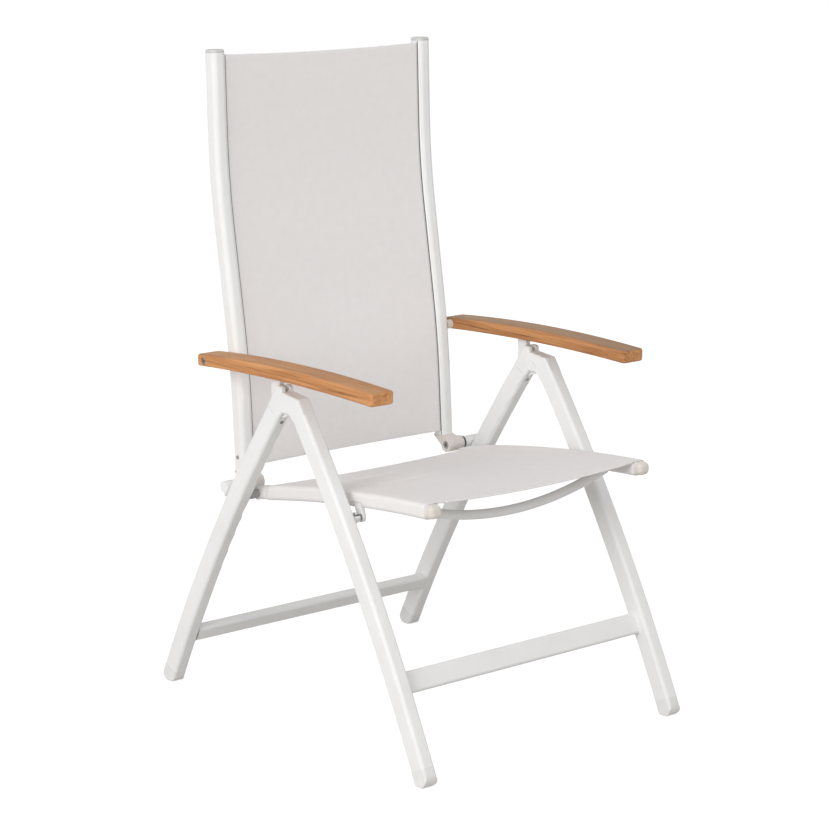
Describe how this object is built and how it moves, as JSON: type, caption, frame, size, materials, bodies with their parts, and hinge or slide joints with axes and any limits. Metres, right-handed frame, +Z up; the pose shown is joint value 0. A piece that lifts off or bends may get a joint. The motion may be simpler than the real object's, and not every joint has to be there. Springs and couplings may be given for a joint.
{
  "type": "reclining chair",
  "caption": "Folding garden armchair with a hinged aluminium tube frame, a high reclining sling back, a sling seat and arched wooden armrests over notched catches",
  "frame": {"origin": "centre of the footprint on the ground", "axes": "+Z up, the chair faces -Y, +X is the sitter's left"},
  "size_m": [0.59, 0.7104, 1.1004],
  "materials": {
    "white_frame": "satin white powder coat on aluminium tube",
    "white_plastic": "moulded white plastic",
    "sling_fabric": "woven coated mesh, off-white",
    "teak": "oiled teak",
    "dark_plastic": "moulded black plastic",
    "cream_plastic": "moulded cream plastic",
    "steel": "stainless steel fasteners"
  },
  "bodies": {
    "rear_frame": {"left_rear_leg": "white_frame", "left_rear_foot": "white_plastic", "left_rear_head": "white_frame", "right_rear_leg": "white_frame", "right_rear_foot": "white_plastic", "right_rear_head": "white_frame", "rear_stretcher": "white_frame", "left_hinge_boss": "white_frame", "right_hinge_boss": "white_frame", "leg_hinge_pins": "white_frame", "seat_pivot_pins": "dark_plastic", "head_screws": "steel"},
    "front_frame": {"left_front_leg": "white_frame", "left_front_foot": "white_plastic", "left_front_head": "white_frame", "right_front_leg": "white_frame", "right_front_foot": "white_plastic", "right_front_head": "white_frame", "front_stretcher": "white_frame", "left_pin_rest": "white_plastic", "right_pin_rest": "white_plastic"},
    "seat": {"left_seat_rail": "white_frame", "left_seat_cap": "cream_plastic", "left_seat_eye": "white_plastic", "left_seat_lug": "white_frame", "right_seat_rail": "white_frame", "right_seat_cap": "cream_plastic", "right_seat_eye": "white_plastic", "right_seat_lug": "white_frame", "seat_rest_pins": "steel", "seat_spreader": "white_frame", "seat_sling": "sling_fabric"},
    "back_axles": {"left_back_axle": "steel", "left_hub_washer": "dark_plastic", "right_back_axle": "steel", "right_hub_washer": "dark_plastic"},
    "back": {"left_back_tube": "white_frame", "left_back_cap": "white_plastic", "left_back_bracket": "white_frame", "left_back_keder": "dark_plastic", "right_back_tube": "white_frame", "right_back_cap": "white_plastic", "right_back_bracket": "white_frame", "right_back_keder": "dark_plastic", "back_sling": "sling_fabric", "lower_back_spreader": "white_frame", "upper_back_spreader": "white_frame", "back_screws": "steel"},
    "arm_pivots": {"left_arm_bush": "cream_plastic", "left_arm_bolt": "steel", "right_arm_bush": "cream_plastic", "right_arm_bolt": "steel"},
    "left_arm": {"left_armrest": "teak", "left_arm_rack": "steel", "left_rack_screws": "steel"},
    "right_arm": {"right_armrest": "teak", "right_arm_rack": "steel", "right_rack_screws": "steel"}
  },
  "joints": [
    {"name": "fold", "type": "hinge", "parent": "rear_frame", "child": "front_frame", "pos_m": [0, 0, 0.55], "axis": [1, 0, 0], "range_deg": [0, 60]},
    {"name": "seat_fold", "type": "hinge", "parent": "rear_frame", "child": "seat", "pos_m": [0, 0.134, 0.372], "axis": [-1, 0, 0], "range_deg": [0, 52.01]},
    {"name": "back_fold", "type": "hinge", "parent": "rear_frame", "child": "back_axles", "pos_m": [0, 0.1685, 0.383], "axis": [1, 0, 0], "range_deg": [0, 30.01]},
    {"name": "recline", "type": "hinge", "parent": "back_axles", "child": "back", "pos_m": [0, 0.1685, 0.383], "axis": [-1, 0, 0], "range_deg": [0, 30]},
    {"name": "arm_lift", "type": "hinge", "parent": "back", "child": "arm_pivots", "pos_m": [0, 0.206, 0.593], "axis": [-1, 0, 0], "range_deg": [0, 90.01]},
    {"name": "left_arm_swing", "type": "hinge", "parent": "arm_pivots", "child": "left_arm", "pos_m": [0, 0.206, 0.593], "axis": [1, 0, 0], "range_deg": [0, 20.41]},
    {"name": "right_arm_swing", "type": "hinge", "parent": "arm_pivots", "child": "right_arm", "pos_m": [0, 0.206, 0.593], "axis": [1, 0, 0], "range_deg": [0, 20.41]}
  ],
  "couplings": [
    {"joint": "seat_fold", "follows": "fold", "ratio": 0.86667},
    {"joint": "back_fold", "follows": "fold", "ratio": 0.5},
    {"joint": "arm_lift", "follows": "fold", "ratio": 1.5},
    {"joint": "left_arm_swing", "follows": "recline", "ratio": 0.68},
    {"joint": "right_arm_swing", "follows": "recline", "ratio": 0.68}
  ]
}
